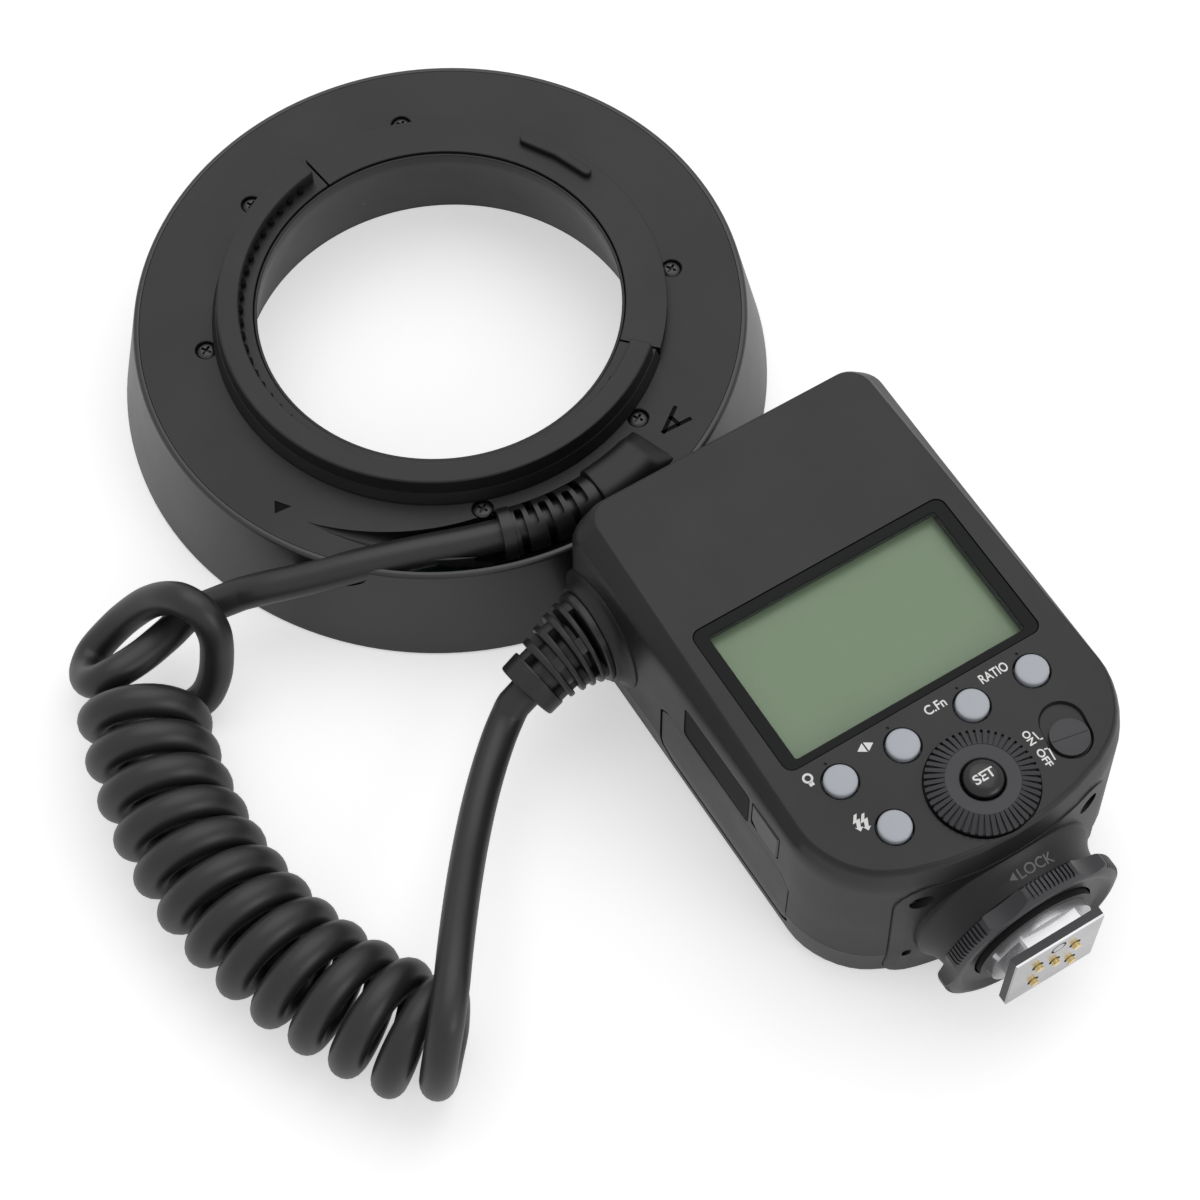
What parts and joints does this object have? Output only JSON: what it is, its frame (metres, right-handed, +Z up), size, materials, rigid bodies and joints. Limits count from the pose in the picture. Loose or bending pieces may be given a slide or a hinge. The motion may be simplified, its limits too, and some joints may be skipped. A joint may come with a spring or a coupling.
{
  "type": "macro_ring_flash",
  "caption": "Macro ring flash: a round flash head with a sprung lens clip, joined by a curly cord to a controller with display, dial, buttons and accessory foot.",
  "frame": {"origin": "middle of the lens opening, on the surface that the ring head's front and the controller's back lie on", "axes": "+Z up, along the lens axis towards the camera; +X to the right and +Y away from the viewer in the picture"},
  "size_m": [0.1939, 0.2258, 0.0487],
  "materials": {
    "body_plastic": "fine matte",
    "control_plastic": "satin",
    "cord_rubber": "satin",
    "pad_rubber": "matte",
    "button_grey": "satin",
    "window_plastic": "clear with a black border",
    "lcd_green": "unlit display",
    "clear_plastic": "clear, prismatic",
    "tube_glass": "clear",
    "bright_metal": "bright",
    "black_metal": "black",
    "brass": "plated",
    "copper": "lacquered winding",
    "board": "solder mask"
  },
  "bodies": {
    "flash": {"ring_front_shell": "body_plastic", "ring_rear_cover": "body_plastic", "bore_sleeve": "body_plastic", "diffuser": "clear_plastic", "reflector": "bright_metal", "flash_tube_a": "tube_glass", "flash_tube_b": "tube_glass", "focus_lamps": "clear_plastic", "ring_board": "board", "trigger_coil": "copper", "adapter_collar": "body_plastic", "clip_springs": "bright_metal", "ring_screws": "black_metal", "cable_fairing": "body_plastic", "ring_boot": "cord_rubber", "cord_ring_tail": "cord_rubber", "cord_coil": "cord_rubber", "cord_body_tail": "cord_rubber", "controller_boot": "cord_rubber", "top_shell": "body_plastic", "back_shell": "body_plastic", "shell_screws": "black_metal", "lcd_window": "window_plastic", "lcd_panel": "lcd_green", "button_pad": "pad_rubber", "dial_encoder": "bright_metal", "switch_body": "bright_metal", "main_board": "board", "flash_capacitor": "control_plastic", "transformer": "copper", "battery_contacts": "bright_metal", "latch_spring": "bright_metal", "foot_bracket": "body_plastic", "bracket_screws": "black_metal", "shoe_foot": "bright_metal"},
    "clip": {"lens_clip": "body_plastic"},
    "lamp_key": {"lamp_button": "button_grey"},
    "arrow_key": {"arrow_button": "button_grey"},
    "function_key": {"function_button": "button_grey"},
    "ratio_key": {"ratio_button": "button_grey"},
    "test_key": {"test_button": "button_grey"},
    "dial_body": {"dial": "control_plastic"},
    "set_key": {"set_button": "control_plastic"},
    "switch_knob": {"power_switch": "control_plastic"},
    "battery": {"battery_pack": "body_plastic"},
    "latch": {"battery_latch": "control_plastic"},
    "wheel": {"lock_wheel": "control_plastic"},
    "pin": {"lock_pin": "bright_metal"},
    "contacts": {"shoe_contacts": "brass"}
  },
  "joints": [
    {"name": "clip_slide", "type": "slide", "parent": "flash", "child": "clip", "axis": [0.5664, 0.8241, 0], "range_m": [0, 0.003], "stiffness_N_per_m": 800, "springref_m": -0.002, "deforming": ["clip_springs"]},
    {"name": "lamp_press", "type": "slide", "parent": "flash", "child": "lamp_key", "axis": [0, 0, -1], "range_m": [0, 0.0008], "stiffness_N_per_m": 1500, "springref_m": -0.0006},
    {"name": "arrow_press", "type": "slide", "parent": "flash", "child": "arrow_key", "axis": [0, 0, -1], "range_m": [0, 0.0008], "stiffness_N_per_m": 1500, "springref_m": -0.0006},
    {"name": "function_press", "type": "slide", "parent": "flash", "child": "function_key", "axis": [0, 0, -1], "range_m": [0, 0.0008], "stiffness_N_per_m": 1500, "springref_m": -0.0006},
    {"name": "ratio_press", "type": "slide", "parent": "flash", "child": "ratio_key", "axis": [0, 0, -1], "range_m": [0, 0.0008], "stiffness_N_per_m": 1500, "springref_m": -0.0006},
    {"name": "test_press", "type": "slide", "parent": "flash", "child": "test_key", "axis": [0, 0, -1], "range_m": [0, 0.0008], "stiffness_N_per_m": 1500, "springref_m": -0.0006},
    {"name": "set_press", "type": "slide", "parent": "flash", "child": "set_key", "axis": [0, 0, -1], "range_m": [0, 0.0008], "stiffness_N_per_m": 1500, "springref_m": -0.0006},
    {"name": "dial_turn", "type": "hinge", "parent": "flash", "child": "dial_body", "pos_m": [0.09471, -0.11725, 0.045], "axis": [0, 0, 1], "continuous": true},
    {"name": "switch_slide", "type": "slide", "parent": "flash", "child": "switch_knob", "axis": [-0.3256, 0.9455, 0], "range_m": [0, 0.003]},
    {"name": "battery_slide", "type": "slide", "parent": "flash", "child": "battery", "axis": [-0.866, -0.5, 0], "range_m": [0, 0.03]},
    {"name": "latch_press", "type": "slide", "parent": "flash", "child": "latch", "axis": [0.866, 0.5, 0], "range_m": [0, 0.0015], "stiffness_N_per_m": 1200, "springref_m": -0.001, "deforming": ["latch_spring"]},
    {"name": "wheel_turn", "type": "hinge", "parent": "flash", "child": "wheel", "pos_m": [0.10416, -0.13362, 0.02], "axis": [0.5, -0.866, 0], "range_deg": [0, 90]},
    {"name": "pin_slide", "type": "slide", "parent": "flash", "child": "pin", "axis": [0.5, -0.866, 0], "range_m": [0, 0.0015]},
    {"name": "contacts_press", "type": "slide", "parent": "flash", "child": "contacts", "axis": [-0.5, 0.866, 0], "range_m": [0, 0.0007], "stiffness_N_per_m": 1500, "springref_m": -0.0005}
  ],
  "couplings": [
    {"joint": "pin_slide", "follows": "wheel_turn", "m_per_rad": 0.00095493}
  ]
}
